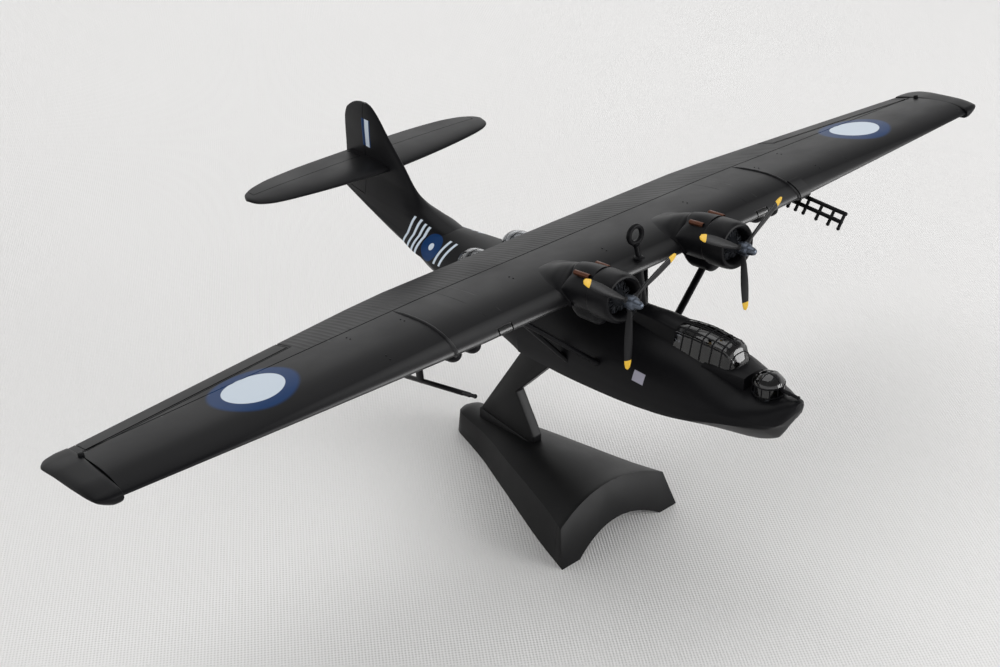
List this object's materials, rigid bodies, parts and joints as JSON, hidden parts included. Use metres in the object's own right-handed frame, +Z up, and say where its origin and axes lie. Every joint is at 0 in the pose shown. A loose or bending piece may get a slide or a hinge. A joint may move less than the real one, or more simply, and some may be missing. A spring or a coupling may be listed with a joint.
{
  "type": "display model of a twin-engined flying boat",
  "caption": "Scale display model of a twin-engined parasol-wing patrol flying boat with turning propellers, fixed on a cranked arm and an arched desk stand.",
  "frame": {"origin": "bottom centre of the bounding box, on the surface the stand rests on", "axes": "+X towards the port wing tip, -Y towards the bow, +Z up"},
  "size_m": [0.2114, 0.129, 0.0739],
  "materials": {
    "black_enamel": "satin black enamel",
    "stand_plastic": "satin black moulded plastic",
    "propeller_black": "black moulded plastic with yellow tips",
    "clear_plastic": "clear moulded plastic with black frames",
    "copper_paint": "copper paint",
    "engine_grey": "dark grey moulded plastic"
  },
  "bodies": {
    "airframe": {"aileron_port": "black_enamel", "aileron_starboard": "black_enamel", "blister_port": "clear_plastic", "blister_starboard": "clear_plastic", "bomb_port_1": "black_enamel", "bomb_port_2": "black_enamel", "bomb_starboard_1": "black_enamel", "bomb_starboard_2": "black_enamel", "bow_gun": "engine_grey", "bow_turret": "clear_plastic", "canopy": "clear_plastic", "elevator_port": "black_enamel", "elevator_starboard": "black_enamel", "engine_port": "engine_grey", "engine_starboard": "engine_grey", "exhaust_port_inner": "copper_paint", "exhaust_port_outer": "copper_paint", "exhaust_starboard_inner": "copper_paint", "exhaust_starboard_outer": "copper_paint", "fin": "black_enamel", "hull": "black_enamel", "ladder_aerial_port": "black_enamel", "ladder_aerial_starboard": "black_enamel", "landing_lamp_port": "clear_plastic", "landing_lamp_starboard": "clear_plastic", "loop_aerial": "black_enamel", "nacelle_port": "black_enamel", "nacelle_starboard": "black_enamel", "pylon": "black_enamel", "rudder": "black_enamel", "stand_arm": "stand_plastic", "stand_base": "stand_plastic", "strut_port_front": "black_enamel", "strut_port_rear": "black_enamel", "strut_starboard_front": "black_enamel", "strut_starboard_rear": "black_enamel", "tailplane": "black_enamel", "tip_float_port": "black_enamel", "tip_float_starboard": "black_enamel", "wing_centre": "black_enamel", "wing_outer_port": "black_enamel", "wing_outer_starboard": "black_enamel"},
    "propeller_starboard": {"propeller_starboard": "propeller_black"},
    "propeller_port": {"propeller_port": "propeller_black"}
  },
  "joints": [
    {"name": "propeller_starboard_spin", "type": "hinge", "parent": "airframe", "child": "propeller_starboard", "pos_m": [-0.01384, -0.03796, 0.06639], "axis": [0, -0.9885, 0.1513], "continuous": true},
    {"name": "propeller_port_spin", "type": "hinge", "parent": "airframe", "child": "propeller_port", "pos_m": [0.01384, -0.03796, 0.06639], "axis": [0, -0.9885, 0.1513], "continuous": true}
  ]
}
